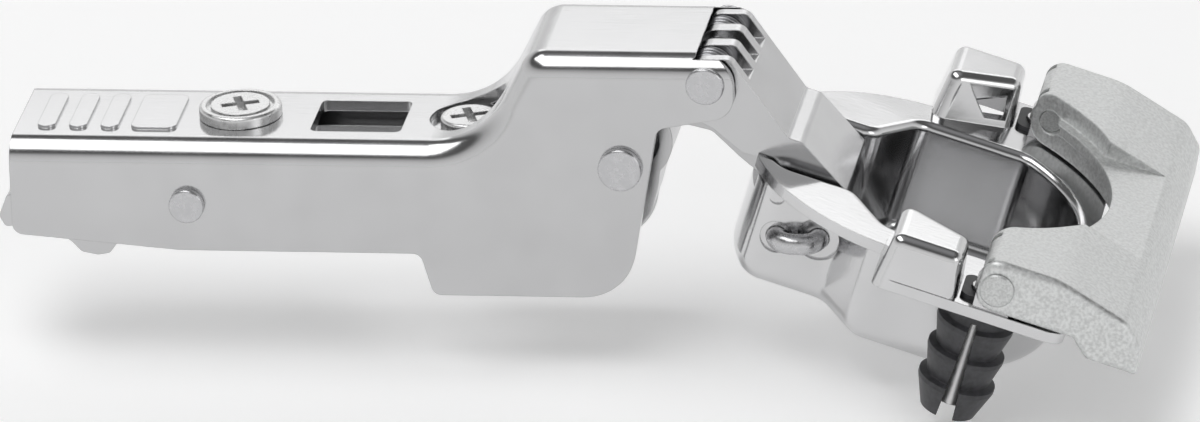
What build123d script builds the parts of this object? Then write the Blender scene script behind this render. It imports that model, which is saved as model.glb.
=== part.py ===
from build123d import *
import os
from math import cos, hypot, radians, sin, tan

# Concealed cup hinge with a cranked arm, in millimetres, shown open.
# The origin is on the plane of the arm's lower edges, mid width, under the rear rivet.
# +X runs along the arm towards the cup, +Z is up.

# Arm
SHEET = 1.2
ARM_WIDTH = 17.0
ARM_REAR = -18.6
ARM_TOP = 11.9
CREST_TOP = 22.2
CRANK_ANGLE = 62.0
CRANK_FOOT = 31.1
FOOT_RADIUS = 9.0
CREST_RADIUS = 3.0
EDGE_BEND = 2.6
NOSE_REACH = 2.9
NOSE_DROP = 4.1
NOSE_SLOT = 1.1
LOBE_BEND = 3.1
SLOT_CHAMFER = 1.0
WALL_DROP = 4.65
WALL_STEP_X = 25.0
FRONT_EDGE_X = 46.7
RIB_HEIGHT = 0.3
RIB_WIDTH = 1.9
RIB_LENGTH = 9.0
RIB_PITCH = 3.35
RIB_COUNT = 3
FIRST_RIB_X = -15.4
PAD_WIDTH = 4.8
PAD_GAP = 1.35
WINDOW_X = 17.4
WINDOW_LENGTH = 9.6
WINDOW_WIDTH = 8.4
SEAT_RADIUS = 4.2
SEAT_DEPTH = 0.8

# Pivots
PIVOT_A = (46.0, 10.0)
PIVOT_B = (55.3, 19.4)
REAR_RIVET = (0.0, 5.2)
SHAFT_GAP = 0.05
RIVET_A_RADIUS = 1.8
RIVET_B_RADIUS = 1.4
REAR_RIVET_RADIUS = 1.4
RIVET_A_HEAD = (2.3, 0.8)
RIVET_B_HEAD = (2.0, 0.5)
REAR_RIVET_HEAD = (1.85, 0.8)
HEAD_GAP = 0.05

# Cup: its side view has x away from the arm and z out of the door
CUP_ORIGIN = (76.2, 4.5)
CUP_TILT = 18.8
CUP_RADIUS = 17.4
CUP_DEPTH = 12.3
CUP_SHEET = 0.8
BASIN_HALF_WIDTH = 14.6
NECK_HALF_WIDTH = 8.6
BASIN_CORNER_X = -2.6
NECK_CORNER_X = -6.9
CUP_BOTTOM_BEND = 2.2
FLANGE = 1.2
RIM_RADIUS = 18.7
FLANGE_HALF_LENGTH = 26.7
FLANGE_START = -1.7
FLANGE_END = 18.7
MOUTH_BEND = 0.9
PASSAGES = [(7.3, 1.7), (5.2, 3.2)]
WIRE_RADIUS = 1.1
WIRE_BOW = 10.2
WIRE_BEND = 1.9
WIRE_END = 4.4
INNER_AXLE = (-12.8, -6.4)
OUTER_AXLE = (-8.6, -5.2)
RECESS = 0.35

# Travel from open to closed, in degrees
DOOR_TRAVEL = 108.8
OUTER_TRAVEL = 33.7
INNER_TRAVEL = 31.64

# Links
LINK_GAP = 0.4
OUTER_LINK_WIDTH = 2 * (ARM_WIDTH / 2 - SHEET - LINK_GAP)
LINK_SHEET = 1.2
KNUCKLE_RADIUS = 2.3
FINGER_WIDTH = 1.7
FINGER_OFFSET = 2.05
SPRING_ROOM = 2.7
INNER_LINK_WIDTH = 7.2
INNER_LINK_NECK = 1.9
INNER_EYE_RADIUS = 2.5
HUB_WALL = 1.35

# Closing springs
SPRING_WIRE = 0.36
SPRING_TURNS = 3
SPRING_PITCH = 0.74
SPRING_LEG = 8.8
SPRING_LEG_SLOPE = 18.4

# Cup fixing
DOWEL_X = 9.5
DOWEL_Y = 22.5
DOWEL_NECK = 2.2
DOWEL_SHANK = 3.35
DOWEL_BARB = 4.05
DOWEL_LENGTH = 12.3
BARB_STEP = 3.45
DOWEL_BORE = 1.53
DOWEL_SPLIT = 0.7
DOWEL_HEAD_LENGTH = 6.2
DOWEL_HEAD_WIDTH = 5.2
DOWEL_HEAD_HEIGHT = 0.45
HEAD_MIDDLE = 10.25
PIN_INNER_END = 17.9
SPINDLE_RADIUS = 1.45
SPINDLE_TRAVEL = 0.6
TONGUE = 1.6
TONGUE_FOOT = 1.2
STEM_TOP = 1.95
LEVER_PIN = (10.6, 4.1)
LEVER_PIN_RADIUS = 1.2
LEVER_PIN_HEAD = 1.8
LEVER_HALF_WIDTH = 27.2
LEVER_ARC = 20.4
LIP_ARC = 19.1
LEVER_END = 26.8
EAR_INNER = 19.0
EAR_OUTER = 25.6
EAR_SHEET = 0.8
EAR_RADIUS = 2.0
SLOT_GAP = 0.12
HUMP_TOP = 6.0

# Adjusting screws, channel and latch under the arm
DEPTH_SCREW_X = 4.6
DEPTH_HEAD_RADIUS = 4.35
DEPTH_HEAD_HEIGHT = 1.2
DEPTH_SHANK_RADIUS = 2.4
DEPTH_DISC_RADIUS = 3.6
DEPTH_STUB_RADIUS = 1.5
DEPTH_TRAVEL = 2.0
SIDE_SCREW_X = 28.9
SIDE_HEAD_RADIUS = 3.1
SIDE_HEAD_HEIGHT = 1.1
SIDE_SHANK_RADIUS = 2.0
SIDE_COLLAR_RADIUS = 2.8
RECESS_DEPTH = 0.8
CROSS_LENGTH = 4.0
CROSS_WIDTH = 0.9
CROSS_TURN = 20
CHANNEL_SHEET = 1.2
CHANNEL_TOP = 8.9
CHANNEL_HALF_WIDTH = ARM_WIDTH / 2 - SHEET - LINK_GAP
CHANNEL_REAR = -13.0
CHANNEL_FRONT = 33.0
CHANNEL_BOTTOM = 0.5
HOOK_START = 26.2
HOOK_DROP = 4.4
LATCH_PIVOT = (-6.2, 4.2)
LATCH_PIN_RADIUS = 1.2
LATCH_HALF_WIDTH = CHANNEL_HALF_WIDTH - CHANNEL_SHEET - LINK_GAP
LEAF_SHEET = 0.5
LEAF_WIDTH = 3.6

ARM_INSIDE = ARM_WIDTH / 2 - SHEET

os.makedirs("parts", exist_ok=True)


def save(shape, name):
    """A piece of the hinge under its own name, in its own file."""
    shape.label = name
    export_step(shape, "parts/" + name + ".step")


def turned(angle, point):
    """A point of the side view turned about the origin, x towards -z when positive."""
    c = cos(radians(angle))
    s = sin(radians(angle))
    return (point[0] * c + point[1] * s, -point[0] * s + point[1] * c)


def from_cup(point):
    """A point of the cup's side view in the arm's frame."""
    x, z = turned(CUP_TILT, point)
    return (CUP_ORIGIN[0] + x, CUP_ORIGIN[1] + z)


def about(centre, angle, point):
    """A point of the side view turned about a centre."""
    x, z = turned(angle, (point[0] - centre[0], point[1] - centre[1]))
    return (centre[0] + x, centre[1] + z)


def inset_line(points, distance):
    """The polyline moved sideways by a distance, to the right of its direction, mitred."""
    moved = []
    last = len(points) - 1
    for index, point in enumerate(points):
        before = points[max(index - 1, 0)]
        after = points[min(index + 1, last)]
        normals = []
        for start, end in ((before, point), (point, after)):
            length = hypot(end[0] - start[0], end[1] - start[1])
            if length > 0:
                normals.append(((end[1] - start[1]) / length, (start[0] - end[0]) / length))
        nx = sum(n[0] for n in normals) / len(normals)
        nz = sum(n[1] for n in normals) / len(normals)
        scale = distance / (nx * nx + nz * nz)
        moved.append((point[0] + nx * scale, point[1] + nz * scale))
    return moved


TILT_X = (cos(radians(CUP_TILT)), 0, -sin(radians(CUP_TILT)))
TILT_Z = (sin(radians(CUP_TILT)), 0, cos(radians(CUP_TILT)))
CUP_CENTRE = (CUP_ORIGIN[0], 0, CUP_ORIGIN[1])
CUP = Plane(origin=CUP_CENTRE, x_dir=TILT_X, z_dir=TILT_Z)
CUP_SIDE = Plane(origin=CUP_CENTRE, x_dir=TILT_X, z_dir=(0, -1, 0))


def across(distance):
    """The arm's side view at a distance towards -Y: local x is X, local y is Z."""
    return Plane.XZ.offset(distance)


INNER_PIVOT = from_cup(INNER_AXLE)
OUTER_PIVOT = from_cup(OUTER_AXLE)


# The inner link turns on the cup's axle. Its eye round rivet A is the open pivot of the
# four-bar linkage, so it is as wide as the rivet's path in the link's own frame.
def open_eye(steps=24):
    """Centre of the rivet's path in the inner link's frame, and its largest distance."""
    path = []
    spacing = (INNER_PIVOT[0] - OUTER_PIVOT[0], INNER_PIVOT[1] - OUTER_PIVOT[1])
    for step in range(steps + 1):
        share = step / steps
        outer = about(PIVOT_B, OUTER_TRAVEL * share, OUTER_PIVOT)
        swung = turned(-DOOR_TRAVEL * share, spacing)
        inner = (outer[0] + swung[0], outer[1] + swung[1])
        rivet = (PIVOT_A[0] - inner[0], PIVOT_A[1] - inner[1])
        seen = turned(-INNER_TRAVEL * share, rivet)
        path.append((INNER_PIVOT[0] + seen[0], INNER_PIVOT[1] + seen[1]))
    middle_x = (min(p[0] for p in path) + max(p[0] for p in path)) / 2
    middle_z = (min(p[1] for p in path) + max(p[1] for p in path)) / 2
    return (middle_x, middle_z), max(hypot(p[0] - middle_x, p[1] - middle_z) for p in path)


EYE_CENTRE, EYE_PLAY = open_eye()
EYE_RADIUS = RIVET_A_RADIUS + EYE_PLAY + 0.2


# Arm: a cranked channel of sheet, open below, cut to its side outline
def arm_block(inset):
    """Solid of the arm with its long bends, past both ends, inside the outer skin by an inset."""
    half = ARM_WIDTH / 2 - inset
    shift = inset * tan(radians(CRANK_ANGLE / 2))
    crest_x = CRANK_FOOT + (CREST_TOP - ARM_TOP) / tan(radians(CRANK_ANGLE))
    far_x = PIVOT_B[0] + 12
    with BuildPart() as block:
        with BuildSketch(across(0)):
            with BuildLine():
                FilletPolyline((ARM_REAR - 8, ARM_TOP - inset), (CRANK_FOOT + shift, ARM_TOP - inset),
                               (crest_x + shift, CREST_TOP - inset), (far_x, CREST_TOP - inset),
                               (far_x, -WALL_DROP - 6), (ARM_REAR - 8, -WALL_DROP - 6),
                               radius=[0, FOOT_RADIUS + inset, CREST_RADIUS - inset, 0, 0, 0], close=True)
            make_face()
        extrude(amount=half, both=True)
        long_edges = []
        for face in block.faces():
            if face.normal_at().Z > 0.3:
                for edge in face.edges():
                    if abs(abs(edge.center().Y) - half) < 0.001:
                        long_edges.append(edge)
        fillet(long_edges, radius=EDGE_BEND - inset)
    return block.part


arm_outside = arm_block(0)
arm_inside = arm_block(SHEET)

NOSE_X = PIVOT_B[0] + NOSE_REACH
ARM_OUTLINE = [(ARM_REAR, ARM_TOP + 2), (ARM_REAR, CREST_TOP + 4), (NOSE_X, CREST_TOP + 4),
               (NOSE_X, CREST_TOP), (NOSE_X, PIVOT_B[1] - NOSE_DROP + 0.6),
               (FRONT_EDGE_X + 3.3, PIVOT_B[1] - NOSE_DROP - 0.9), (FRONT_EDGE_X - 0.6, -WALL_DROP),
               (WALL_STEP_X + 0.6, -WALL_DROP), (WALL_STEP_X - 0.6, 0), (-1.0, 0), (ARM_REAR - 0.2, 1.6)]
ARM_CORNERS = [0, 0, 0, 0, 2.6, 1.3, 5.8, 1.1, 1.1, 12.0, 1.2]

with BuildPart() as hinge_arm:
    add(arm_outside)
    add(arm_inside, mode=Mode.SUBTRACT)
    with BuildSketch(across(0)):
        with BuildLine():
            FilletPolyline(*ARM_OUTLINE, radius=ARM_CORNERS, close=True)
        make_face()
    extrude(amount=ARM_WIDTH, both=True, mode=Mode.INTERSECT)
    # Rounded upper corner of the two lobes round rivet B
    with BuildSketch(across(0)):
        with BuildLine():
            Polyline((NOSE_X - LOBE_BEND, CREST_TOP), (NOSE_X - LOBE_BEND, CREST_TOP + 2),
                     (NOSE_X + 2, CREST_TOP + 2), (NOSE_X + 2, CREST_TOP - LOBE_BEND),
                     (NOSE_X, CREST_TOP - LOBE_BEND))
            RadiusArc((NOSE_X, CREST_TOP - LOBE_BEND), (NOSE_X - LOBE_BEND, CREST_TOP), -LOBE_BEND)
        make_face()
    extrude(amount=ARM_WIDTH, both=True, mode=Mode.SUBTRACT)
    # Open end of the top over rivet B, thinned below its edge for the knuckles
    slot_x = PIVOT_B[0] - NOSE_SLOT
    with BuildSketch(across(0)):
        with BuildLine():
            Polyline((slot_x, CREST_TOP + 1), (slot_x, CREST_TOP - SHEET + SLOT_CHAMFER),
                     (slot_x - SLOT_CHAMFER, CREST_TOP - SHEET), (slot_x - SLOT_CHAMFER, PIVOT_B[1]),
                     (slot_x + 9, PIVOT_B[1]), (slot_x + 9, CREST_TOP + 1), close=True)
        make_face()
    extrude(amount=ARM_INSIDE, both=True, mode=Mode.SUBTRACT)
    # Embossed grip ribs, broad pad and the band in front of the window
    with BuildSketch(Plane.XY.offset(ARM_TOP - SHEET / 2)):
        for count in range(RIB_COUNT):
            with Locations((FIRST_RIB_X + count * RIB_PITCH, 0)):
                RectangleRounded(RIB_WIDTH, RIB_LENGTH, RIB_WIDTH / 2 - 0.05)
        with Locations((FIRST_RIB_X + RIB_COUNT * RIB_PITCH + PAD_GAP, 0)):
            RectangleRounded(PAD_WIDTH, RIB_LENGTH, RIB_WIDTH / 2)
    extrude(amount=SHEET / 2 + RIB_HEIGHT)
    # Sunk seat of the side screw
    with BuildSketch(Plane.XY.offset(ARM_TOP - SHEET - SEAT_DEPTH)):
        with Locations((SIDE_SCREW_X, 0)):
            Circle(SEAT_RADIUS + SHEET)
    extrude(amount=SHEET + SEAT_DEPTH)
    with BuildSketch(Plane.XY.offset(ARM_TOP - SEAT_DEPTH)):
        with Locations((SIDE_SCREW_X, 0)):
            Circle(SEAT_RADIUS)
    extrude(amount=6, mode=Mode.SUBTRACT)
    # Window and screw holes
    with BuildSketch(Plane.XY.offset(ARM_TOP - 4)):
        with Locations((WINDOW_X, 0)):
            RectangleRounded(WINDOW_LENGTH, WINDOW_WIDTH, 0.8)
        with Locations((DEPTH_SCREW_X, 0)):
            Circle(DEPTH_SHANK_RADIUS + SHAFT_GAP)
        with Locations((SIDE_SCREW_X, 0)):
            Circle(SIDE_SHANK_RADIUS + SHAFT_GAP)
    extrude(amount=10, mode=Mode.SUBTRACT)
    for point, radius in ((PIVOT_A, RIVET_A_RADIUS), (PIVOT_B, RIVET_B_RADIUS),
                          (REAR_RIVET, REAR_RIVET_RADIUS)):
        with BuildSketch(across(0)):
            with Locations(point):
                Circle(radius + SHAFT_GAP)
        extrude(amount=ARM_WIDTH, both=True, mode=Mode.SUBTRACT)
save(hinge_arm.part, "hinge_arm")


# Rivets: a shank with a low head outside each wall of the arm
def rivet(point, radius, head, name):
    """A rivet through both walls of the arm, its head given as radius and height."""
    head_radius = head[0]
    half = ARM_WIDTH / 2 + HEAD_GAP
    top = half + head[1]
    with BuildPart() as shape:
        with BuildSketch(Plane(origin=(point[0], 0, point[1]), x_dir=(1, 0, 0), z_dir=(0, 0, 1))):
            with BuildLine():
                FilletPolyline((0, -top), (head_radius, -top), (head_radius, -half), (radius, -half),
                               (radius, half), (head_radius, half), (head_radius, top), (0, top),
                               radius=[0, 0.25, 0, 0, 0, 0, 0.25, 0], close=True)
            make_face()
        revolve(axis=Axis((point[0], 0, point[1]), (0, 1, 0)))
    save(shape.part, name)


rivet(PIVOT_A, RIVET_A_RADIUS, RIVET_A_HEAD, "pivot_rivet_a")
rivet(PIVOT_B, RIVET_B_RADIUS, RIVET_B_HEAD, "pivot_rivet_b")
rivet(REAR_RIVET, REAR_RIVET_RADIUS, REAR_RIVET_HEAD, "rear_rivet")

# Closing springs: turns of wire round rivet B beside the knuckles, with a leg under the crest
COIL_RADIUS = RIVET_B_RADIUS + SPRING_WIRE + 0.15
LEG_START = (PIVOT_B[0] - COIL_RADIUS * sin(radians(SPRING_LEG_SLOPE)),
             PIVOT_B[1] - COIL_RADIUS * cos(radians(SPRING_LEG_SLOPE)))
LEG_WAY = (-cos(radians(SPRING_LEG_SLOPE)), 0, sin(radians(SPRING_LEG_SLOPE)))
COIL_MIDDLE = (FINGER_OFFSET + FINGER_WIDTH / 2 + OUTER_LINK_WIDTH / 2 - LINK_SHEET) / 2

for side, name in ((-1, "closing_spring_near"), (1, "closing_spring_far")):
    with BuildPart() as spring:
        for turn in range(SPRING_TURNS):
            y = side * (COIL_MIDDLE + (turn - (SPRING_TURNS - 1) / 2) * SPRING_PITCH)
            with BuildSketch(Plane(origin=(PIVOT_B[0], y, PIVOT_B[1]), x_dir=(1, 0, 0), z_dir=(0, 0, 1))):
                with Locations((COIL_RADIUS, 0)):
                    Circle(SPRING_WIRE + 0.03)
            revolve(axis=Axis((PIVOT_B[0], 0, PIVOT_B[1]), (0, 1, 0)))
        with BuildSketch(Plane(origin=(LEG_START[0], side * COIL_MIDDLE, LEG_START[1]), z_dir=LEG_WAY)):
            Circle(SPRING_WIRE)
        extrude(amount=SPRING_LEG)
    save(spring.part, name)

# Outer link: a channel of sheet whose web steps over the cup's rim, with knuckles on rivet B
LINK_WEB = [(57.8, 21.7), (63.5, 13.0), (65.0, 12.5), (69.4, 7.1)]
LINK_OUTLINE = [(PIVOT_B[0] - KNUCKLE_RADIUS, PIVOT_B[1] + KNUCKLE_RADIUS), LINK_WEB[0], LINK_WEB[1],
                LINK_WEB[2], LINK_WEB[3], (OUTER_PIVOT[0] + 2.6, OUTER_PIVOT[1] - 0.6),
                (OUTER_PIVOT[0] + 1.2, OUTER_PIVOT[1] - 2.6), (OUTER_PIVOT[0] - 1.5, OUTER_PIVOT[1] - 2.6),
                (OUTER_PIVOT[0] - 2.6, OUTER_PIVOT[1] + 0.8), (62.4, 8.2), (60.9, 10.7), (58.6, 11.3),
                (55.6, 14.0), (54.2, 14.7), (PIVOT_B[0] - KNUCKLE_RADIUS, 17.0)]
LINK_CORNERS = [2.25, 1.2, 0.6, 1.2, 0.4, 1.2, 1.2, 1.2, 1.2, 0.5, 0.5, 0.8, 1.0, 0.6, 1.0]
LINK_INSIDE = OUTER_LINK_WIDTH / 2 - LINK_SHEET
KNUCKLE_ROOT = [(61.2, 16.5), (59.8, 15.7)]
web_under = inset_line(LINK_WEB, LINK_SHEET)

with BuildPart() as link_shape:
    with BuildSketch(across(0)):
        with BuildLine():
            FilletPolyline(*LINK_OUTLINE, radius=LINK_CORNERS, close=True)
        make_face()
    extrude(amount=OUTER_LINK_WIDTH / 2, both=True)

# Rolled knuckles of the web round rivet B
with BuildPart() as knuckles:
    for side in (-1, 1):
        with BuildSketch(across(side * FINGER_OFFSET)):
            with Locations(PIVOT_B):
                Circle(KNUCKLE_RADIUS)
            with BuildLine():
                Polyline(PIVOT_B, (PIVOT_B[0], PIVOT_B[1] + KNUCKLE_RADIUS), LINK_WEB[0], KNUCKLE_ROOT[0],
                         KNUCKLE_ROOT[1], close=True)
            make_face()
        extrude(amount=FINGER_WIDTH / 2, both=True)
    add(link_shape.part, mode=Mode.INTERSECT)

with BuildPart() as outer_link:
    add(link_shape.part)
    with BuildSketch(across(0)):
        with BuildLine():
            Polyline((web_under[0][0] - 3, web_under[0][1] + 4.5), web_under[0], web_under[1], web_under[2],
                     web_under[3], (web_under[3][0] + 5, web_under[3][1] - 6.14), (web_under[3][0] + 5, -8),
                     (40, -8), (40, web_under[0][1] + 4.5), close=True)
        make_face()
        with Locations(PIVOT_B):
            Circle(SPRING_ROOM)
        with BuildLine():
            Polyline((PIVOT_B[0], PIVOT_B[1] - 0.4), (PIVOT_B[0] + 8, PIVOT_B[1] - 0.4),
                     (PIVOT_B[0] + 8, PIVOT_B[1] + 6), (PIVOT_B[0], PIVOT_B[1] + 6), close=True)
        make_face()
    extrude(amount=LINK_INSIDE, both=True, mode=Mode.SUBTRACT)
    add(knuckles.part)
    for point, radius in ((PIVOT_B, RIVET_B_RADIUS), (OUTER_PIVOT, WIRE_RADIUS)):
        with BuildSketch(across(0)):
            with Locations(point):
                Circle(radius + SHAFT_GAP)
        extrude(amount=ARM_WIDTH, both=True, mode=Mode.SUBTRACT)
save(outer_link.part, "outer_link")

# Inner link: a thin curved neck between the cup's axle and the wide eye round rivet A
NECK_LINE = [INNER_PIVOT, (61.1, 7.0), (60.5, 8.3), (58.5, 10.1), (55.5, 13.2), (51.5, 14.2), (48.0, 12.6)]
TAIL = [(49.0, 8.6), (49.3, 7.6), (49.0, 5.8), (48.2, 3.1), (46.8, 1.3), (45.2, 1.6), (43.4, 5.0),
        (43.0, 9.0)]
HUB_RADIUS = EYE_RADIUS + HUB_WALL

with BuildPart() as inner_link:
    with BuildSketch(across(0)):
        with BuildLine():
            FilletPolyline(*NECK_LINE, radius=[1.5, 1.5, 2.0, 2.5, 2.0])
        trace(line_width=INNER_LINK_NECK)
        with Locations(EYE_CENTRE):
            Circle(HUB_RADIUS)
        with Locations(INNER_PIVOT):
            Circle(INNER_EYE_RADIUS)
        with BuildLine():
            FilletPolyline(*TAIL, radius=[0, 0.5, 2.0, 3.0, 0.8, 0.8, 3.0, 0], close=True)
        make_face()
        with Locations(EYE_CENTRE):
            Circle(EYE_RADIUS, mode=Mode.SUBTRACT)
        with Locations(INNER_PIVOT):
            Circle(WIRE_RADIUS + SHAFT_GAP, mode=Mode.SUBTRACT)
    extrude(amount=INNER_LINK_WIDTH / 2, both=True)
save(inner_link.part, "inner_link")


# Cup: a drawn basin with a narrow neck for the links, a rim plate and a long flange
def keyhole(depth, inset, rise):
    """Solid of the cup's keyhole plan from a depth to a height above the door, smaller by an inset."""
    with BuildPart() as block:
        with BuildSketch(CUP.offset(-depth)):
            with BuildLine():
                FilletPolyline((22, -BASIN_HALF_WIDTH), (22, BASIN_HALF_WIDTH),
                               (BASIN_CORNER_X, BASIN_HALF_WIDTH), (NECK_CORNER_X, NECK_HALF_WIDTH),
                               (-22, NECK_HALF_WIDTH), (-22, -NECK_HALF_WIDTH),
                               (NECK_CORNER_X, -NECK_HALF_WIDTH), (BASIN_CORNER_X, -BASIN_HALF_WIDTH),
                               radius=[0, 0, 3.0, 1.6, 0, 0, 1.6, 3.0], close=True)
            make_face()
            if inset > 0:
                offset(amount=-inset)
            Circle(CUP_RADIUS - inset, mode=Mode.INTERSECT)
        extrude(amount=depth + rise)
        corners = []
        for edge in block.edges():
            middle = CUP.to_local_coords(edge.center())
            if abs(middle.Z - (rise - depth) / 2) < 0.01 and (middle.X < -12 or middle.X > 7):
                if abs(middle.Y) > 4:
                    corners.append(edge)
        fillet(corners, radius=3.0 - inset)
        lowest = block.faces().sort_by(Axis(CUP_CENTRE, TILT_Z))[0]
        fillet(lowest.edges(), radius=CUP_BOTTOM_BEND - inset)
    return block.part


HUMP_BASE = [(-1.9, 15.4), (7.0, 18.8), (7.0, 26.7), (-1.9, 26.7)]
HUMP_ROOF = [(-1.1, 17.4), (6.4, 21.0), (6.4, 26.2), (-1.1, 26.2)]
HOLLOW_BASE = [(-0.7, 17.2), (5.8, 19.7), (5.8, 25.5), (-0.7, 25.5)]
HOLLOW_ROOF = [(0.1, 19.2), (5.2, 21.6), (5.2, 25.0), (0.1, 25.0)]
HUMP_CUT = [(0.0, 18.3), (6.0, 18.3), (6.0, 21.5)]


def hump(side, base, roof, top, bottom, bend):
    """A tapered block on the flange, between a base and a roof outline."""
    with BuildPart() as block:
        with BuildSketch(CUP.offset(bottom)):
            with BuildLine():
                Polyline(*[(x, side * y) for x, y in base], close=True)
            make_face()
        with BuildSketch(CUP.offset(top)):
            with BuildLine():
                Polyline(*[(x, side * y) for x, y in roof], close=True)
            make_face()
        loft(ruled=True)
        if bend > 0:
            upper = [e for e in block.edges() if CUP.to_local_coords(e.center()).Z > bottom + 0.5]
            fillet(upper, radius=bend)
    return block.part


cup_outside = keyhole(CUP_DEPTH, 0, 0)
cup_inside = keyhole(CUP_DEPTH - CUP_SHEET, CUP_SHEET, FLANGE + 1)

with BuildPart() as hinge_cup:
    add(cup_outside)
    # Flat rim and the long flange on the door's face
    with BuildSketch(CUP):
        Circle(RIM_RADIUS)
        with Locations(((FLANGE_START + FLANGE_END) / 2, 0)):
            RectangleRounded(FLANGE_END - FLANGE_START, 2 * FLANGE_HALF_LENGTH, 2.0)
    extrude(amount=FLANGE)
    add(cup_inside, mode=Mode.SUBTRACT)
    # Turned-in edge of the mouth
    mouth = []
    for edge in hinge_cup.edges():
        middle = CUP.to_local_coords(edge.center())
        if abs(middle.Z - FLANGE) < 0.01 and hypot(middle.X, middle.Y) < CUP_RADIUS - 0.2:
            mouth.append(edge)
    fillet(mouth, radius=MOUTH_BEND)
    for side in (-1, 1):
        add(hump(side, HUMP_BASE, HUMP_ROOF, HUMP_TOP, 0, 1.2))
    for side in (-1, 1):
        add(hump(side, HOLLOW_BASE, HOLLOW_ROOF, HUMP_TOP - SHEET, 0, 0), mode=Mode.SUBTRACT)
        # Triangular lanced opening in the hump's inner slope
        with BuildSketch(CUP.offset(FLANGE + 0.7)):
            with BuildLine():
                Polyline(*[(x, side * y) for x, y in HUMP_CUT], close=True)
            make_face()
        extrude(amount=3.2, mode=Mode.SUBTRACT)
    # Stepped passage for both links through the neck's end wall
    for half_width, depth in PASSAGES:
        with BuildSketch(CUP.offset(-depth)):
            with Locations((-18, 0)):
                Rectangle(9, 2 * half_width)
        extrude(amount=depth + FLANGE + 1, mode=Mode.SUBTRACT)
    # Recess, small dimple and bores of the neck's side walls for the axle wires
    for side in (-1, 1):
        wall = -side * (NECK_HALF_WIDTH - RECESS)
        with BuildSketch(CUP_SIDE.offset(wall)):
            with Locations(OUTER_AXLE):
                Circle(2.3)
            with Locations(INNER_AXLE):
                Circle(1.75)
            with Locations((-14.0, -2.0)):
                Circle(0.9)
        extrude(amount=-side * 2.0, mode=Mode.SUBTRACT)
    with BuildSketch(CUP_SIDE):
        with Locations(INNER_AXLE, OUTER_AXLE):
            Circle(WIRE_RADIUS + SHAFT_GAP)
    extrude(amount=NECK_HALF_WIDTH + 1, both=True, mode=Mode.SUBTRACT)
    # Dowel holes
    with BuildSketch(CUP.offset(-1)):
        with Locations((DOWEL_X, -DOWEL_Y), (DOWEL_X, DOWEL_Y)):
            Circle(DOWEL_NECK + SHAFT_GAP)
    extrude(amount=FLANGE + 2, mode=Mode.SUBTRACT)
    # Ears round the lever's pins
    for level in (EAR_INNER, EAR_OUTER, -EAR_INNER - EAR_SHEET, -EAR_OUTER - EAR_SHEET):
        with BuildSketch(CUP_SIDE.offset(level)):
            with Locations(LEVER_PIN):
                Circle(EAR_RADIUS)
            with BuildLine():
                Polyline((LEVER_PIN[0] - EAR_RADIUS + 0.1, FLANGE / 2),
                         (LEVER_PIN[0] - EAR_RADIUS, LEVER_PIN[1]), (LEVER_PIN[0] + EAR_RADIUS, LEVER_PIN[1]),
                         (LEVER_PIN[0] + EAR_RADIUS - 0.1, FLANGE / 2), close=True)
            make_face()
            with Locations(LEVER_PIN):
                Circle(LEVER_PIN_RADIUS + SHAFT_GAP, mode=Mode.SUBTRACT)
        extrude(amount=EAR_SHEET)
save(hinge_cup.part, "hinge_cup")

# Double axle: a bent wire on each side carries both links
AXLE_SPACING = hypot(OUTER_AXLE[0] - INNER_AXLE[0], OUTER_AXLE[1] - INNER_AXLE[1])
AXLE_WAY = (OUTER_PIVOT[0] - INNER_PIVOT[0], 0, OUTER_PIVOT[1] - INNER_PIVOT[1])
for side, name in ((-1, "axle_wire_near"), (1, "axle_wire_far")):
    wire_plane = Plane(origin=(INNER_PIVOT[0], 0, INNER_PIVOT[1]), x_dir=AXLE_WAY,
                       z_dir=Vector(*AXLE_WAY).cross(Vector(0, side, 0)))
    with BuildPart() as axle:
        with BuildLine(wire_plane) as course:
            FilletPolyline((0, 0.03), (0, WIRE_BOW), (AXLE_SPACING, WIRE_BOW), (AXLE_SPACING, WIRE_END),
                           radius=WIRE_BEND)
        with BuildSketch(Plane(origin=course.line @ 0, z_dir=course.line % 0)):
            Circle(WIRE_RADIUS)
        sweep()
    save(axle.part, name)

# Dowels: a split fir-tree plug under the flange, with a square head above it
dowel_outline = [(DOWEL_NECK, FLANGE), (DOWEL_NECK, 0), (DOWEL_SHANK, 0)]
for barb in range(3):
    level = -1.75 - barb * BARB_STEP
    dowel_outline += [(DOWEL_SHANK, level + 0.25), (DOWEL_BARB, level), (DOWEL_BARB, level - 0.5)]
    if barb < 2:
        dowel_outline.append((DOWEL_SHANK, level - BARB_STEP + 0.3))
dowel_outline += [(2.9, -DOWEL_LENGTH), (0, -DOWEL_LENGTH), (0, FLANGE)]

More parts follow.
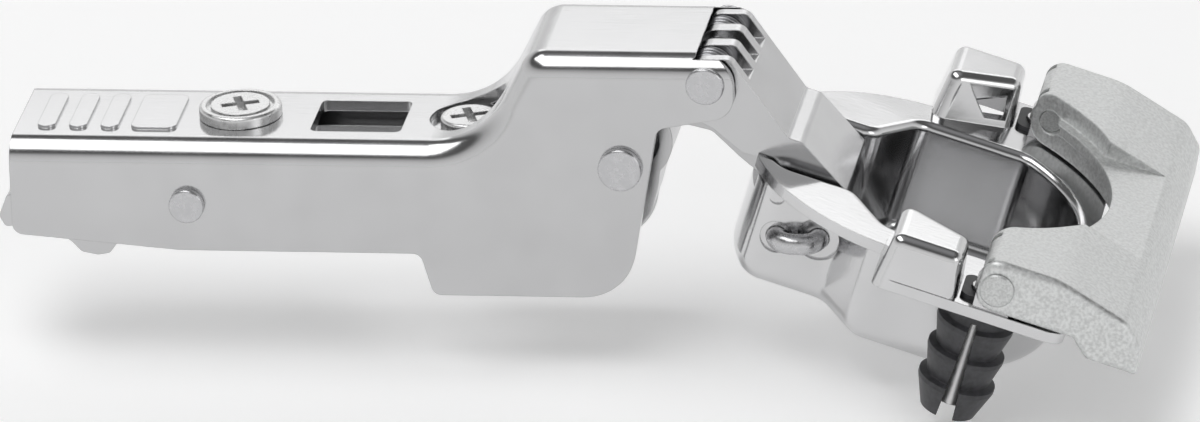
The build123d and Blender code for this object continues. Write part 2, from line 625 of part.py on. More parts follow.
for side, name in ((-1, "dowel_near"), (1, "dowel_far")):
    place = CUP.from_local_coords(Vector(DOWEL_X, side * DOWEL_Y, 0))
    with BuildPart() as dowel:
        with BuildSketch(Plane(origin=place, x_dir=TILT_X, z_dir=(0, -1, 0))):
            with BuildLine():
                Polyline(*dowel_outline, close=True)
            make_face()
        revolve(axis=Axis(place, TILT_Z))
        with BuildSketch(CUP.offset(FLANGE)):
            with Locations((HEAD_MIDDLE, side * DOWEL_Y)):
                RectangleRounded(DOWEL_HEAD_LENGTH, DOWEL_HEAD_WIDTH, 1.0)
        extrude(amount=DOWEL_HEAD_HEIGHT)
        with BuildSketch(CUP.offset(FLANGE + 1)):
            with Locations((DOWEL_X, side * DOWEL_Y)):
                Circle(DOWEL_BORE)
        extrude(amount=-DOWEL_LENGTH - FLANGE - 2, mode=Mode.SUBTRACT)
        with BuildSketch(CUP_SIDE):
            with BuildLine():
                Polyline((DOWEL_X - DOWEL_SPLIT / 2, -1.0), (DOWEL_X + DOWEL_SPLIT / 2, -1.0),
                         (DOWEL_X + DOWEL_SPLIT * 1.3, -DOWEL_LENGTH - 1),
                         (DOWEL_X - DOWEL_SPLIT * 1.3, -DOWEL_LENGTH - 1), close=True)
            make_face()
        extrude(amount=40, both=True, mode=Mode.SUBTRACT)
    save(dowel.part, name)

# Spindles: a stem in each dowel with a flat tongue hung on the lever's pin by a slotted eye
for side, name in ((-1, "spindle_near"), (1, "spindle_far")):
    with BuildPart() as spindle:
        with BuildSketch(CUP.offset(-DOWEL_LENGTH + 1)):
            with Locations((DOWEL_X, side * DOWEL_Y)):
                Circle(SPINDLE_RADIUS)
        extrude(amount=DOWEL_LENGTH - 1 + STEM_TOP)
        with BuildSketch(CUP_SIDE.offset(-side * DOWEL_Y)):
            with Locations(LEVER_PIN, (LEVER_PIN[0], LEVER_PIN[1] + SPINDLE_TRAVEL)):
                Circle(LEVER_PIN_RADIUS + 0.55)
            with BuildLine():
                Polyline((DOWEL_X - TONGUE_FOOT, STEM_TOP - 0.5), (DOWEL_X + TONGUE_FOOT, STEM_TOP - 0.5),
                         (DOWEL_X + TONGUE_FOOT, STEM_TOP + 0.1),
                         (LEVER_PIN[0] + LEVER_PIN_RADIUS + 0.5, LEVER_PIN[1]),
                         (LEVER_PIN[0], LEVER_PIN[1] + 1),
                         (LEVER_PIN[0] - LEVER_PIN_RADIUS - 0.5, LEVER_PIN[1] + 0.3),
                         (DOWEL_X - TONGUE_FOOT, 3.0), close=True)
            make_face()
            with Locations(LEVER_PIN, (LEVER_PIN[0], LEVER_PIN[1] + SPINDLE_TRAVEL)):
                Circle(LEVER_PIN_RADIUS + 0.08, mode=Mode.SUBTRACT)
            with Locations((LEVER_PIN[0], LEVER_PIN[1] + SPINDLE_TRAVEL / 2)):
                Rectangle(2 * LEVER_PIN_RADIUS + 0.16, SPINDLE_TRAVEL, mode=Mode.SUBTRACT)
        extrude(amount=TONGUE / 2, both=True)
    save(spindle.part, name)

# Clamping lever: a die-cast wing round the cup's front, with slots for the ears
LEVER_OUTLINE = [(8.55, 1.45), (8.55, 7.15), (16.5, 7.15), (24.3, 5.0), (26.4, 2.8), (LEVER_END, -0.35),
                 (21.4, -0.35), (20.4, 0.5), (19.4, 1.45)]
LEVER_CORNERS = [2.0, 1.9, 9.0, 2.5, 2.0, 0.3, 0.4, 0.3, 0.4]
PLATE_TOP = 5.15
LIP_SHEET = 1.15
PLATE_HALF_WIDTH = 11.0
LIP_START = 10.3

with BuildPart() as clamping_lever:
    with BuildSketch(CUP_SIDE):
        with BuildLine():
            FilletPolyline(*LEVER_OUTLINE, radius=LEVER_CORNERS, close=True)
        make_face()
    extrude(amount=LEVER_HALF_WIDTH, both=True)
    # Rounded long edges of the crown at both outer sides
    rims = []
    for edge in clamping_lever.edges():
        middle = CUP.to_local_coords(edge.center())
        if abs(abs(middle.Y) - LEVER_HALF_WIDTH) < 0.01 and middle.Z > 3.4 and middle.X > 8.6:
            rims.append(edge)
    fillet(rims, radius=0.8)
    # Lower middle plate and the round opening round the cup's mouth
    with BuildSketch(CUP.offset(PLATE_TOP)):
        with Locations((20, 0)):
            Rectangle(24, 2 * PLATE_HALF_WIDTH)
    extrude(amount=5, mode=Mode.SUBTRACT)
    with BuildSketch(CUP.offset(-2)):
        Circle(LEVER_ARC)
    extrude(amount=12, mode=Mode.SUBTRACT)
    # Thin lip along the opening
    with BuildSketch(CUP.offset(PLATE_TOP - LIP_SHEET)):
        Circle(LEVER_ARC + 0.4)
        Circle(LIP_ARC, mode=Mode.SUBTRACT)
        with Locations((LIP_START + 10, 0)):
            Rectangle(20, 50, mode=Mode.INTERSECT)
    extrude(amount=LIP_SHEET)
    # Hollow underside of the legs and of the front wall
    with BuildSketch(CUP.offset(-2)):
        for side in (-1, 1):
            with Locations((19.3, side * 23.7)):
                Rectangle(9.4, 4.9)
    extrude(amount=6.4, mode=Mode.SUBTRACT)
    with BuildSketch(CUP.offset(-2)):
        with Locations((23.5, 0)):
            Rectangle(3.2, 38)
    extrude(amount=5.6, mode=Mode.SUBTRACT)
    for side in (-1, 1):
        # Slots for the two ears of each leg
        for inner in (EAR_INNER, EAR_OUTER):
            level = -side * (inner + EAR_SHEET / 2)
            with BuildSketch(CUP_SIDE.offset(level)):
                with Locations((LEVER_PIN[0] - 1.2, 3.1)):
                    Rectangle(2 * EAR_RADIUS + 2.7, 6.3)
                with Locations((8.4, 5.8)):
                    Rectangle(2.0, 2.0)
            extrude(amount=EAR_SHEET / 2 + SLOT_GAP, both=True, mode=Mode.SUBTRACT)
        # Room for the dowel's head and for the spindle's tongue
        middle_y = (EAR_INNER + EAR_SHEET + EAR_OUTER) / 2
        with BuildSketch(CUP_SIDE.offset(-side * middle_y)):
            with Locations((10.0, 1.45)):
                Rectangle(9.2, 3.5)
        extrude(amount=(EAR_OUTER - EAR_INNER) / 2, both=True, mode=Mode.SUBTRACT)
        with BuildSketch(CUP_SIDE.offset(-side * DOWEL_Y)):
            with Locations(LEVER_PIN):
                Circle(LEVER_PIN_RADIUS + 1.35)
            with Locations((10.0, 2.2)):
                Rectangle(6.3, 3.8)
        extrude(amount=TONGUE / 2 + 0.2, both=True, mode=Mode.SUBTRACT)
    with BuildSketch(CUP_SIDE):
        with Locations(LEVER_PIN):
            Circle(LEVER_PIN_RADIUS + SHAFT_GAP)
    extrude(amount=LEVER_HALF_WIDTH + 1, both=True, mode=Mode.SUBTRACT)
save(clamping_lever.part, "clamping_lever")

for side, name in ((-1, "lever_pin_near"), (1, "lever_pin_far")):
    place = CUP.from_local_coords(Vector(LEVER_PIN[0], 0, LEVER_PIN[1]))
    with BuildPart() as pin:
        with BuildSketch(Plane(origin=place, x_dir=TILT_X, z_dir=TILT_Z)):
            with BuildLine():
                inner = side * (PIN_INNER_END)
                outer = side * (LEVER_HALF_WIDTH + HEAD_GAP)
                Polyline((0, inner), (LEVER_PIN_RADIUS, inner), (LEVER_PIN_RADIUS, outer),
                         (LEVER_PIN_HEAD, outer), (LEVER_PIN_HEAD, outer + side * 0.15),
                         (LEVER_PIN_HEAD - 0.2, outer + side * 0.35), (0, outer + side * 0.35), close=True)
            make_face()
        revolve(axis=Axis(place, (0, 1, 0)))
    save(pin.part, name)


# Adjusting screws in the top of the arm
def cross_cutter(centre_x, top):
    """Cross recess of a screw head, as a solid to be cut from its top."""
    with BuildPart() as cutter:
        with BuildSketch(Plane.XY.offset(top - RECESS_DEPTH)):
            with Locations(Location((centre_x, 0), CROSS_TURN)):
                Rectangle(CROSS_LENGTH, CROSS_WIDTH)
                Rectangle(CROSS_WIDTH, CROSS_LENGTH)
        extrude(amount=RECESS_DEPTH + 1)
    return cutter.part


def stepped_shaft(centre_x, levels):
    """Stacked round steps of a screw, each given as bottom, top and radius."""
    with BuildPart() as shaft:
        for bottom, top, radius in levels:
            with BuildSketch(Plane.XY.offset(bottom)):
                with Locations((centre_x, 0)):
                    Circle(radius)
            extrude(amount=top - bottom)
        fillet(shaft.edges().sort_by(Axis.Z)[-1], radius=0.35)
    return shaft.part


depth_base = ARM_TOP + HEAD_GAP
depth_top = depth_base + DEPTH_HEAD_HEIGHT
with BuildPart() as depth_screw:
    add(stepped_shaft(DEPTH_SCREW_X, [(depth_base, depth_top, DEPTH_HEAD_RADIUS),
                                      (9.55, depth_base, DEPTH_SHANK_RADIUS),
                                      (9.55, 10.35, DEPTH_DISC_RADIUS),
                                      (7.0, 9.55, DEPTH_STUB_RADIUS)]))
    # Shallow ring groove round the cross recess
    with BuildSketch(Plane.XY.offset(depth_top - 0.35)):
        with Locations((DEPTH_SCREW_X, 0)):
            Circle(DEPTH_HEAD_RADIUS - 0.75)
            Circle(DEPTH_HEAD_RADIUS - 1.25, mode=Mode.SUBTRACT)
    extrude(amount=1, mode=Mode.SUBTRACT)
    add(cross_cutter(DEPTH_SCREW_X, depth_top), mode=Mode.SUBTRACT)
save(depth_screw.part, "depth_screw")

side_base = ARM_TOP - SEAT_DEPTH + HEAD_GAP
side_top = side_base + SIDE_HEAD_HEIGHT
with BuildPart() as side_screw:
    add(stepped_shaft(SIDE_SCREW_X, [(side_base, side_top, SIDE_HEAD_RADIUS),
                                     (4.4, side_base, SIDE_SHANK_RADIUS), (4.9, 5.7, SIDE_COLLAR_RADIUS)]))
    add(cross_cutter(SIDE_SCREW_X, side_top), mode=Mode.SUBTRACT)
save(side_screw.part, "side_screw")

# Inner channel: slides in the arm, hangs on the mounting plate
CHANNEL_OUTLINE = [(CHANNEL_REAR, CHANNEL_BOTTOM), (CHANNEL_REAR, CHANNEL_TOP), (CHANNEL_FRONT, CHANNEL_TOP),
                   (CHANNEL_FRONT, -0.6), (30.6, -0.6), (30.6, -2.2), (CHANNEL_FRONT, -2.2),
                   (CHANNEL_FRONT, -HOOK_DROP), (HOOK_START, -HOOK_DROP), (HOOK_START, CHANNEL_BOTTOM)]
CHANNEL_CORNERS = [1.5, 0, 0, 0.5, 0.75, 0.75, 0.5, 1.2, 1.2, 1.2]

with BuildPart() as inner_channel:
    with BuildSketch(Plane.YZ.offset(CHANNEL_REAR)):
        with BuildLine():
            FilletPolyline((-CHANNEL_HALF_WIDTH, -6), (-CHANNEL_HALF_WIDTH, CHANNEL_TOP),
                           (CHANNEL_HALF_WIDTH, CHANNEL_TOP), (CHANNEL_HALF_WIDTH, -6),
                           radius=[0, 1.6, 1.6, 0], close=True)
        make_face()
        with BuildLine():
            under = CHANNEL_HALF_WIDTH - CHANNEL_SHEET
            FilletPolyline((-under, -6), (-under, CHANNEL_TOP - CHANNEL_SHEET),
                           (under, CHANNEL_TOP - CHANNEL_SHEET), (under, -6), radius=[0, 0.4, 0.4, 0],
                           close=True)
        make_face(mode=Mode.SUBTRACT)
    extrude(amount=CHANNEL_FRONT - CHANNEL_REAR)
    with BuildSketch(across(0)):
        with BuildLine():
            FilletPolyline(*CHANNEL_OUTLINE, radius=CHANNEL_CORNERS, close=True)
        make_face()
    extrude(amount=20, both=True, mode=Mode.INTERSECT)
    # Window and slots that let the arm be set
    with BuildSketch(Plane.XY.offset(CHANNEL_TOP - 3)):
        with Locations((WINDOW_X, 0)):
            RectangleRounded(WINDOW_LENGTH + 2.4, WINDOW_WIDTH + 0.8, 1.0)
        with Locations((DEPTH_SCREW_X, 0)):
            RectangleRounded(2 * (DEPTH_TRAVEL + DEPTH_STUB_RADIUS) + 1.1, 2 * DEPTH_STUB_RADIUS + 0.8, 1.8)
        with Locations((SIDE_SCREW_X, 0)):
            RectangleRounded(2 * (DEPTH_TRAVEL + SIDE_SHANK_RADIUS) + 1.1, 2 * SIDE_SHANK_RADIUS + 0.8, 2.3)
    extrude(amount=6, mode=Mode.SUBTRACT)
    with BuildSketch(across(0)):
        with Locations(REAR_RIVET):
            SlotCenterToCenter(2 * DEPTH_TRAVEL + 0.1, 2 * (REAR_RIVET_RADIUS + SHAFT_GAP))
        with Locations(LATCH_PIVOT):
            Circle(LATCH_PIN_RADIUS + SHAFT_GAP)
    extrude(amount=20, both=True, mode=Mode.SUBTRACT)
save(inner_channel.part, "inner_channel")

# Latch at the arm's rear with its pin and leaf spring
with BuildPart() as latch_pin:
    with BuildSketch(across(0)):
        with Locations(LATCH_PIVOT):
            Circle(LATCH_PIN_RADIUS)
    extrude(amount=CHANNEL_HALF_WIDTH + 0.1, both=True)
save(latch_pin.part, "latch_pin")

LATCH_OUTLINE = [(-19.2, 4.7), (-19.9, 4.5), (-20.8, 2.3), (-20.2, 1.0), (-18.4, 1.3), (-14.4, 0.4),
                 (-13.2, -0.6), (-12.2, -1.7), (-10.5, -2.05), (-9.2, -1.8), (-8.3, -0.6), (-4.6, 1.6),
                 (-3.8, 3.2), (-3.9, 5.6), (-5.2, 6.5), (-8.0, 6.3), (-14.0, 4.9)]
LATCH_CORNERS = [0.3, 0.4, 0.6, 0.5, 1.0, 0.8, 0.6, 0.6, 0.6, 0.6, 0.5, 1.0, 1.0, 1.0, 0.6, 1.0, 2.0]
LATCH_HOLLOW = [(-17.6, -4), (-17.6, 2.4), (-9.0, 5.0), (-5.0, 5.2), (-5.0, -4)]
with BuildPart() as release_latch:
    with BuildSketch(across(0)):
        with BuildLine():
            FilletPolyline(*LATCH_OUTLINE, radius=LATCH_CORNERS, close=True)
        make_face()
    extrude(amount=LATCH_HALF_WIDTH, both=True)
    with BuildSketch(across(0)):
        with BuildLine():
            Polyline(*LATCH_HOLLOW, close=True)
        make_face()
    extrude(amount=LATCH_HALF_WIDTH - CHANNEL_SHEET, both=True, mode=Mode.SUBTRACT)
    with BuildSketch(across(0)):
        with Locations(LATCH_PIVOT):
            Circle(LATCH_PIN_RADIUS + SHAFT_GAP)
    extrude(amount=20, both=True, mode=Mode.SUBTRACT)
save(release_latch.part, "release_latch")

leaf_z = CHANNEL_TOP - CHANNEL_SHEET - LEAF_SHEET / 2
with BuildPart() as latch_spring:
    with BuildSketch(across(0)):
        with BuildLine():
            FilletPolyline((-1.0, leaf_z), (-4.0, leaf_z), (-11.5, leaf_z - 0.35), radius=3)
        trace(line_width=LEAF_SHEET)
    extrude(amount=LEAF_WIDTH / 2, both=True)
save(latch_spring.part, "latch_spring")
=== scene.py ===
import bpy
from bpy.props import FloatProperty, FloatVectorProperty, PointerProperty
from mathutils import Matrix, Vector


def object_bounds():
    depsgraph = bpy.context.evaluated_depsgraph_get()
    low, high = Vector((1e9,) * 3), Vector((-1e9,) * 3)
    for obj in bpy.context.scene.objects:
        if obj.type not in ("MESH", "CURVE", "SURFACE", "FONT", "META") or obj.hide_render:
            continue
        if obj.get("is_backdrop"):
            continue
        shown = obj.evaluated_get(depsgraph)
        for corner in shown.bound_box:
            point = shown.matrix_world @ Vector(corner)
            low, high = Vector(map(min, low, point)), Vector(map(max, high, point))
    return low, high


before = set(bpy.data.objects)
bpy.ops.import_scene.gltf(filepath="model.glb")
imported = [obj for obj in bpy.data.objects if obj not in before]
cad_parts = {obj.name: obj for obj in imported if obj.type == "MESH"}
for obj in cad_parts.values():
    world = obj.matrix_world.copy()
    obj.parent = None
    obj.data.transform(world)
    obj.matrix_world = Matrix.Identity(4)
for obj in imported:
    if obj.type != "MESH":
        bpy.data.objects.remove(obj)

bl_info = {
    "name": "Concealed cup hinge",
    "version": (1, 0, 0),
    "blender": (4, 5, 0),
    "location": "3D View > Sidebar > Hinge",
    "description": "Surfaces and studio of a cranked concealed cup hinge",
    "category": "Object",
}

# Axes of the adjusting screws, in metres
DEPTH_SCREW = (0.0046, 0.0, 0.0124)
SIDE_SCREW = (0.0289, 0.0, 0.0122)

# Relief of each finish: depth in metres and strength
SHEET_RELIEF = (0.000012, 0.22)
SKIN_RELIEF = (0.00001, 0.25)
RING_RELIEF = (0.00002, 0.3)
ZINC_RELIEF = (0.00003, 0.4)
NYLON_RELIEF = (0.00003, 0.4)

# Rolled grain runs along the arm
GRAIN_STRETCH = (0.12, 1, 1)
RINGS_PER_METRE = 900

# Studio lamps: name, place from the hinge's middle, size, share of the key light's power
LAMPS = (
    ("key", (-0.25, -0.15, 0.95), (1.1, 0.5), 1.0),
    ("fill", (0.9, -0.7, 0.45), (0.5, 0.5), 0.28),
    ("back", (0.1, 1.0, 0.62), (1.2, 0.35), 0.35),
)

# Room shades from the horizon, at 0, to straight up, at 1: height and lightness
SKY_LOW = (0.95, 0.95, 0.95, 1)
SKY_HIGH = (0.35, 0.35, 0.36, 1)
SKY_SHADES = ((0.30, 0.80), (0.48, 0.60), (0.62, 0.10), (0.80, 0.12))
FLOOR_GAP = 0.0004
FLOOR_GLOW = 0.22


def colour(name, description, default):
    """A colour that the user can change."""
    return FloatVectorProperty(name=name, description=description, subtype="COLOR", size=3,
                               min=0, max=1, default=default)


def length(name, description, default, largest):
    """A length in metres that the user can change."""
    return FloatProperty(name=name, description=description, subtype="DISTANCE", unit="LENGTH",
                         min=0, max=largest, default=default)


class HingeLooks(bpy.types.PropertyGroup):
    """Colours and sizes of the hinge's surfaces."""

    nickel: colour("Nickel", "Nickel plating on the stamped sheet", (0.56, 0.56, 0.565))
    cup_nickel: colour("Cup nickel", "Brighter plating on the drawn cup", (0.63, 0.63, 0.635))
    rivet_steel: colour("Rivet steel", "Satin plating on the rivets and axle wires", (0.55, 0.55, 0.56))
    screw_steel: colour("Screw steel", "Plating on the adjusting screws", (0.70, 0.70, 0.70))
    spring_steel: colour("Spring steel", "Dark oiled spring wire", (0.30, 0.30, 0.31))
    zinc: colour("Zinc", "Matte die-cast zinc of the clamping lever", (0.66, 0.67, 0.665))
    plastic: colour("Plastic", "Dark nylon of the dowels", (0.030, 0.030, 0.033))
    edge: length("Broken edge", "Radius of the tumbled edges of the stampings", 0.00016, 0.001)
    lever_edge: length("Lever edge", "Radius of the cast edges of the lever", 0.0003, 0.001)
    dowel_edge: length("Dowel edge", "Radius of the moulded edges of the dowels", 0.00012, 0.001)
    cloud: length("Plating cloud", "Size of the soft patches in the plating", 0.006, 0.05)
    grain: length("Rolled grain", "Width of the grain of the rolled sheet", 0.0004, 0.005)
    skin: length("Tumbled skin", "Size of the marks on rivets and wires", 0.0006, 0.005)
    turned_skin: length("Turned skin", "Size of the marks on the screw heads", 0.0009, 0.005)
    nylon_skin: length("Nylon skin", "Size of the marks on the dowels", 0.0007, 0.005)
    speck: length("Zinc speck", "Size of the specks on the die-cast lever", 0.00035, 0.002)


class HingeStudio(bpy.types.PropertyGroup):
    """Studio round the hinge."""

    floor: colour("Floor", "Colour of the plain floor", (0.93, 0.93, 0.93))
    floor_size: length("Floor size", "Side of the square floor", 24, 60)
    key_power: FloatProperty(
        name="Key light", description="Power of the large overhead softbox", unit="POWER",
        min=0, max=100, default=4.5)
    camera_place: FloatVectorProperty(
        name="Camera place", description="Place of the camera", subtype="TRANSLATION",
        unit="LENGTH", size=3, default=(0.27756, -1.34377, 0.57318))
    camera_way: FloatVectorProperty(
        name="Camera direction", description="Direction that the camera looks in",
        subtype="DIRECTION", size=3, default=(-0.15916, 0.90847, -0.38646))
    camera_up: FloatVectorProperty(
        name="Camera up", description="Direction that is up in the picture",
        subtype="DIRECTION", size=3, default=(-0.015048, 0.389172, 0.921042))
    lens: FloatProperty(
        name="Lens", description="Focal length in millimetres on a 36 mm frame", unit="CAMERA",
        min=10, max=2000, default=424.8)


def start_material(name, metal=0.0):
    """A new material with its node tree and its surface shader."""
    material = bpy.data.materials.new(name)
    material.use_nodes = True
    shader = material.node_tree.nodes["Principled BSDF"]
    shader.inputs["Metallic"].default_value = metal
    return material, material.node_tree, shader


def placed(tree, location=(0, 0, 0), stretch=(1, 1, 1)):
    """Coordinates in metres on the hinge, moved and stretched."""
    place = tree.nodes.new("ShaderNodeTexCoord")
    mapping = tree.nodes.new("ShaderNodeMapping")
    mapping.inputs["Location"].default_value = location
    mapping.inputs["Scale"].default_value = stretch
    tree.links.new(place.outputs["Object"], mapping.inputs["Vector"])
    return mapping.outputs["Vector"]


def noise(tree, size, detail, stretch=(1, 1, 1)):
    """Noise with grains of a size in metres, stretched along the axes."""
    texture = tree.nodes.new("ShaderNodeTexNoise")
    texture.inputs["Scale"].default_value = 1.0 / size
    texture.inputs["Detail"].default_value = detail
    tree.links.new(placed(tree, stretch=stretch), texture.inputs["Vector"])
    return texture.outputs["Fac"]


def turned_rings(tree, centre):
    """Fine rings round an upright axis through the centre."""
    rings = tree.nodes.new("ShaderNodeTexWave")
    rings.wave_type = "RINGS"
    rings.rings_direction = "Z"
    rings.inputs["Scale"].default_value = RINGS_PER_METRE
    rings.inputs["Distortion"].default_value = 0.6
    rings.inputs["Detail"].default_value = 2.0
    tree.links.new(placed(tree, [-c for c in centre]), rings.inputs["Vector"])
    return rings.outputs["Fac"]


def shade(tone, factor):
    """A colour made darker or lighter."""
    return tuple(min(1.0, c * factor) for c in tone)


def tint(tree, shader, factor, tone, dark, light, low=0.35, high=0.65):
    """Surface colour between a darker and a lighter shade of a tone, along a noise."""
    ramp = tree.nodes.new("ShaderNodeValToRGB")
    first, last = ramp.color_ramp.elements
    first.position = low
    first.color = (*shade(tone, dark), 1)
    last.position = high
    last.color = (*shade(tone, light), 1)
    tree.links.new(factor, ramp.inputs["Fac"])
    tree.links.new(ramp.outputs["Color"], shader.inputs["Base Color"])


def uneven_gloss(tree, shader, factor, low, high):
    """Roughness that varies between two values along a noise."""
    span = tree.nodes.new("ShaderNodeMapRange")
    span.inputs["From Min"].default_value = 0.3
    span.inputs["From Max"].default_value = 0.7
    span.inputs["To Min"].default_value = low
    span.inputs["To Max"].default_value = high
    tree.links.new(factor, span.inputs["Value"])
    tree.links.new(span.outputs["Result"], shader.inputs["Roughness"])


def relief(tree, shader, height, amount, edge):
    """Fine relief of the surface over softly broken edges."""
    bump = tree.nodes.new("ShaderNodeBump")
    bump.inputs["Distance"].default_value, bump.inputs["Strength"].default_value = amount
    tree.links.new(height, bump.inputs["Height"])
    if edge > 0:
        bevel = tree.nodes.new("ShaderNodeBevel")
        bevel.samples = 4
        bevel.inputs["Radius"].default_value = edge
        tree.links.new(bevel.outputs["Normal"], bump.inputs["Normal"])
    tree.links.new(bump.outputs["Normal"], shader.inputs["Normal"])


def plated_sheet(name, tone, gloss, looks):
    """Nickel plating over rolled sheet: a faint grain along the arm and cloudy gloss."""
    material, tree, shader = start_material(name, 1.0)
    cloud = noise(tree, looks.cloud, 2.0)
    tint(tree, shader, cloud, tone, 0.975, 1.02)
    uneven_gloss(tree, shader, cloud, gloss, gloss + 0.04)
    grain = noise(tree, looks.grain, 2.0, GRAIN_STRETCH)
    relief(tree, shader, grain, SHEET_RELIEF, looks.edge)
    return material


def satin_steel(name, tone, gloss, skin_size, edge):
    """Plated wire and rivets with a fine tumbled skin."""
    material, tree, shader = start_material(name, 1.0)
    skin = noise(tree, skin_size, 4.0)
    tint(tree, shader, skin, tone, 0.94, 1.03)
    uneven_gloss(tree, shader, skin, gloss, gloss + 0.12)
    relief(tree, shader, skin, SKIN_RELIEF, edge)
    return material


def turned_steel(name, centre, looks):
    """A screw head turned on a lathe: fine rings round its own axis."""
    material, tree, shader = start_material(name, 1.0)
    skin = noise(tree, looks.turned_skin, 3.0)
    tint(tree, shader, skin, looks.screw_steel, 0.85, 1.05)
    uneven_gloss(tree, shader, skin, 0.22, 0.36)
    relief(tree, shader, turned_rings(tree, centre), RING_RELIEF, looks.edge)
    return material


def cast_zinc(name, tone, speck, edge):
    """Die-cast zinc with a matte, speckled skin."""
    material, tree, shader = start_material(name, 0.85)
    specks = noise(tree, speck, 6.0)
    tint(tree, shader, specks, tone, 0.82, 1.10, 0.36, 0.64)
    uneven_gloss(tree, shader, specks, 0.34, 0.52)
    relief(tree, shader, specks, ZINC_RELIEF, edge)
    return material


def moulded_nylon(name, looks):
    """Dark nylon with a soft moulded skin."""
    material, tree, shader = start_material(name)
    skin = noise(tree, looks.nylon_skin, 4.0)
    tint(tree, shader, skin, looks.plastic, 0.75, 1.5)
    uneven_gloss(tree, shader, skin, 0.38, 0.52)
    relief(tree, shader, skin, NYLON_RELIEF, looks.dowel_edge)
    return material


def dress(material, *names):
    """Every face of the named pieces takes the material."""
    for name in names:
        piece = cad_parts[name]
        if not piece.material_slots:
            piece.data.materials.append(material)
        for place in piece.material_slots:
            place.material = material


class HINGE_OT_stampings(bpy.types.Operator):
    """Nickel plating on the arm, the channel, the latch and both links; the channel and the inner link
    take a darker copy of it as painted shade
    """

    bl_idname = "hinge.stampings"
    bl_label = "Stamped sheet"

    def execute(self, context):
        looks = context.scene.hinge_looks
        outside = plated_sheet("Nickel sheet", looks.nickel, 0.15, looks)
        dress(outside, "hinge_arm", "release_latch", "outer_link")
        # Painted shade: the channel and the inner link get the same nickel darkened, for their place
        # inside the hinge
        painted_shade_nickel = plated_sheet("Nickel sheet painted shade", shade(looks.nickel, 0.9), 0.2, looks)
        dress(painted_shade_nickel, "inner_channel", "inner_link")
        return {"FINISHED"}


class HINGE_OT_cup(bpy.types.Operator):
    """Bright plating on the drawn cup"""

    bl_idname = "hinge.cup"
    bl_label = "Cup"

    def execute(self, context):
        looks = context.scene.hinge_looks
        dress(plated_sheet("Nickel cup", looks.cup_nickel, 0.12, looks), "hinge_cup")
        return {"FINISHED"}


class HINGE_OT_rivets(bpy.types.Operator):
    """Satin steel on the rivets, the axle wires and the latch's pin"""

    bl_idname = "hinge.rivets"
    bl_label = "Rivets and axle wires"

    def execute(self, context):
        looks = context.scene.hinge_looks
        steel = satin_steel("Rivet steel", looks.rivet_steel, 0.2, looks.skin, looks.edge)
        dress(steel, "pivot_rivet_a", "pivot_rivet_b", "rear_rivet", "latch_pin",
              "axle_wire_near", "axle_wire_far")
        return {"FINISHED"}


class HINGE_OT_screws(bpy.types.Operator):
    """Turned steel on both adjusting screws, plain steel on the spindles"""

    bl_idname = "hinge.screws"
    bl_label = "Screws and spindles"

    def execute(self, context):
        looks = context.scene.hinge_looks
        dress(turned_steel("Depth screw steel", DEPTH_SCREW, looks), "depth_screw")
        dress(turned_steel("Side screw steel", SIDE_SCREW, looks), "side_screw")
        stem = satin_steel("Spindle steel", looks.screw_steel, 0.28, looks.skin, looks.edge)
        dress(stem, "spindle_near", "spindle_far")
        return {"FINISHED"}


class HINGE_OT_springs(bpy.types.Operator):
    """Dark spring steel on the closing springs and the latch's leaf"""

    bl_idname = "hinge.springs"
    bl_label = "Springs"

    def execute(self, context):
        looks = context.scene.hinge_looks
        wire = satin_steel("Spring steel", looks.spring_steel, 0.25, looks.skin, 0)
        dress(wire, "closing_spring_near", "closing_spring_far", "latch_spring")
        return {"FINISHED"}


class HINGE_OT_lever(bpy.types.Operator):
    """Speckled zinc on the clamping lever and its pins"""

    bl_idname = "hinge.lever"
    bl_label = "Clamping lever"

    def execute(self, context):
        looks = context.scene.hinge_looks
        dress(cast_zinc("Cast zinc", looks.zinc, looks.speck, looks.lever_edge), "clamping_lever")
        pins = cast_zinc("Cast zinc pins", shade(looks.zinc, 0.9), looks.speck * 0.6, looks.edge)
        dress(pins, "lever_pin_near", "lever_pin_far")
        return {"FINISHED"}


class HINGE_OT_dowels(bpy.types.Operator):
    """Dark nylon on both dowels"""

    bl_idname = "hinge.dowels"
    bl_label = "Dowels"

    def execute(self, context):
        dress(moulded_nylon("Dark nylon", context.scene.hinge_looks), "dowel_near", "dowel_far")
        return {"FINISHED"}


def lay_floor(context, studio, low):
    """Plain floor just under the hinge's lowest point."""
    half = studio.floor_size / 2
    level = low.z - FLOOR_GAP
    corners = [(-half, -half, level), (half, -half, level), (half, half, level), (-half, half, level)]
    mesh = bpy.data.meshes.new("floor")
    mesh.from_pydata(corners, [], [(0, 1, 2, 3)])
    paint, tree, shader = start_material("Studio floor")
    shader.inputs["Base Color"].default_value = (*studio.floor, 1)
    shader.inputs["Roughness"].default_value = 0.9
    shader.inputs["Emission Color"].default_value = (1, 1, 1, 1)
    shader.inputs["Emission Strength"].default_value = FLOOR_GLOW
    mesh.materials.append(paint)
    floor = bpy.data.objects.new("floor", mesh)
    context.scene.collection.objects.link(floor)
    floor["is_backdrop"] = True


def hang_lamps(context, studio, middle):
    """Softboxes that face the middle of the hinge."""
    for name, place, size, share in LAMPS:
        lamp = bpy.data.lights.new(name, "AREA")
        lamp.shape = "RECTANGLE"
        lamp.size, lamp.size_y = size
        lamp.energy = studio.key_power * share
        holder = bpy.data.objects.new(name, lamp)
        holder.location = middle + Vector(place)
        holder.rotation_euler = Vector(place).to_track_quat("Z", "Y").to_euler()
        context.scene.collection.objects.link(holder)


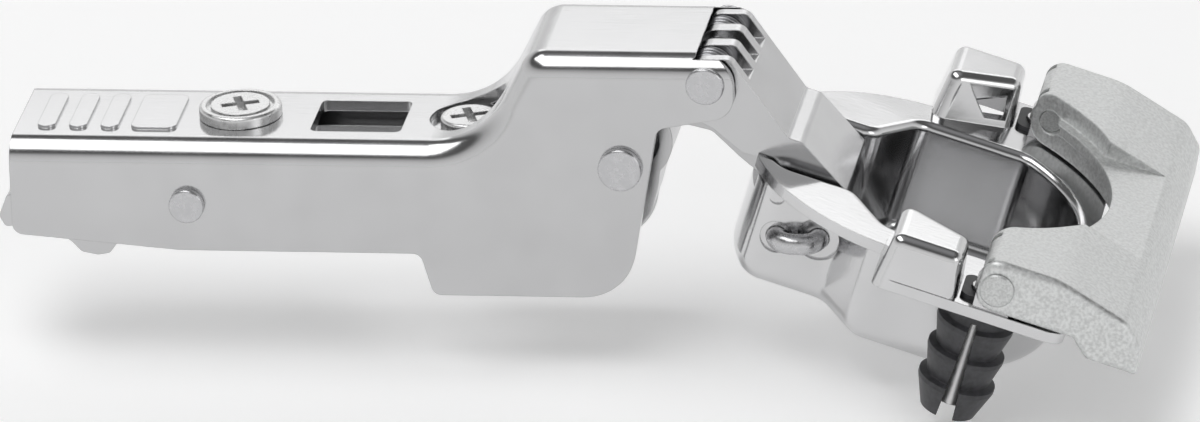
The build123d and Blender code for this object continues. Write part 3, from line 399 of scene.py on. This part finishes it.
def paint_room(context):
    """Soft room: pale at the horizon and below it, a dark band high up, grey overhead."""
    world = bpy.data.worlds.new("Soft room")
    context.scene.world = world
    world.use_nodes = True
    tree = world.node_tree
    place = tree.nodes.new("ShaderNodeTexCoord")
    split = tree.nodes.new("ShaderNodeSeparateXYZ")
    height = tree.nodes.new("ShaderNodeValToRGB")
    stops = height.color_ramp.elements
    stops[0].position = 0.0
    stops[0].color = SKY_LOW
    stops[1].position = 1.0
    stops[1].color = SKY_HIGH
    for position, lightness in SKY_SHADES:
        stops.new(position).color = (lightness, lightness, lightness, 1)
    tree.links.new(place.outputs["Generated"], split.inputs["Vector"])
    tree.links.new(split.outputs["Z"], height.inputs["Fac"])
    tree.links.new(height.outputs["Color"], tree.nodes["Background"].inputs["Color"])
    tree.nodes["Background"].inputs["Strength"].default_value = 1.0


def place_camera(context, studio):
    """Camera at the photograph's angle."""
    data = bpy.data.cameras.new("camera")
    data.sensor_fit = "HORIZONTAL"
    data.sensor_width = 36
    data.lens = studio.lens
    data.clip_end = 50
    back = -Vector(studio.camera_way).normalized()
    right = Vector(studio.camera_up).cross(back).normalized()
    turn = Matrix((right, back.cross(right), back)).transposed()
    view = bpy.data.objects.new("camera", data)
    view.location = studio.camera_place
    view.rotation_euler = turn.to_euler()
    context.scene.collection.objects.link(view)
    context.scene.camera = view


class HINGE_OT_studio(bpy.types.Operator):
    """Plain floor, soft light and camera"""

    bl_idname = "hinge.studio"
    bl_label = "Studio"

    def execute(self, context):
        studio = context.scene.hinge_studio
        low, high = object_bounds()
        lay_floor(context, studio, low)
        hang_lamps(context, studio, (low + high) / 2)
        paint_room(context)
        place_camera(context, studio)
        context.scene.view_settings.view_transform = "Standard"
        return {"FINISHED"}


class HINGE_PT_panel(bpy.types.Panel):
    """Sizes, colours and steps of the hinge"""

    bl_idname = "HINGE_PT_panel"
    bl_label = "Cup hinge"
    bl_space_type = "VIEW_3D"
    bl_region_type = "UI"
    bl_category = "Hinge"

    def draw(self, context):
        layout = self.layout
        for owner in (context.scene.hinge_looks, context.scene.hinge_studio):
            column = layout.column()
            for name in owner.__annotations__:
                column.prop(owner, name)
        for step in STEPS:
            layout.operator(step.bl_idname)


STEPS = (HINGE_OT_stampings, HINGE_OT_cup, HINGE_OT_rivets, HINGE_OT_screws, HINGE_OT_springs,
         HINGE_OT_lever, HINGE_OT_dowels, HINGE_OT_studio)
CLASSES = (HingeLooks, HingeStudio) + STEPS + (HINGE_PT_panel,)


def register():
    """The hinge's classes and its settings on the scene."""
    for item in CLASSES:
        bpy.utils.register_class(item)
    bpy.types.Scene.hinge_looks = PointerProperty(type=HingeLooks)
    bpy.types.Scene.hinge_studio = PointerProperty(type=HingeStudio)


def unregister():
    """Takes the hinge's settings and classes away."""
    del bpy.types.Scene.hinge_studio
    del bpy.types.Scene.hinge_looks
    for item in reversed(CLASSES):
        bpy.utils.unregister_class(item)


def main():
    """The whole hinge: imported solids, surfaces, studio and sizes."""
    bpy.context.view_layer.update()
    register()
    bpy.ops.hinge.stampings()
    bpy.ops.hinge.cup()
    bpy.ops.hinge.rivets()
    bpy.ops.hinge.screws()
    bpy.ops.hinge.springs()
    bpy.ops.hinge.lever()
    bpy.ops.hinge.dowels()
    bpy.ops.hinge.studio()


if __name__ == "__main__":
    main()
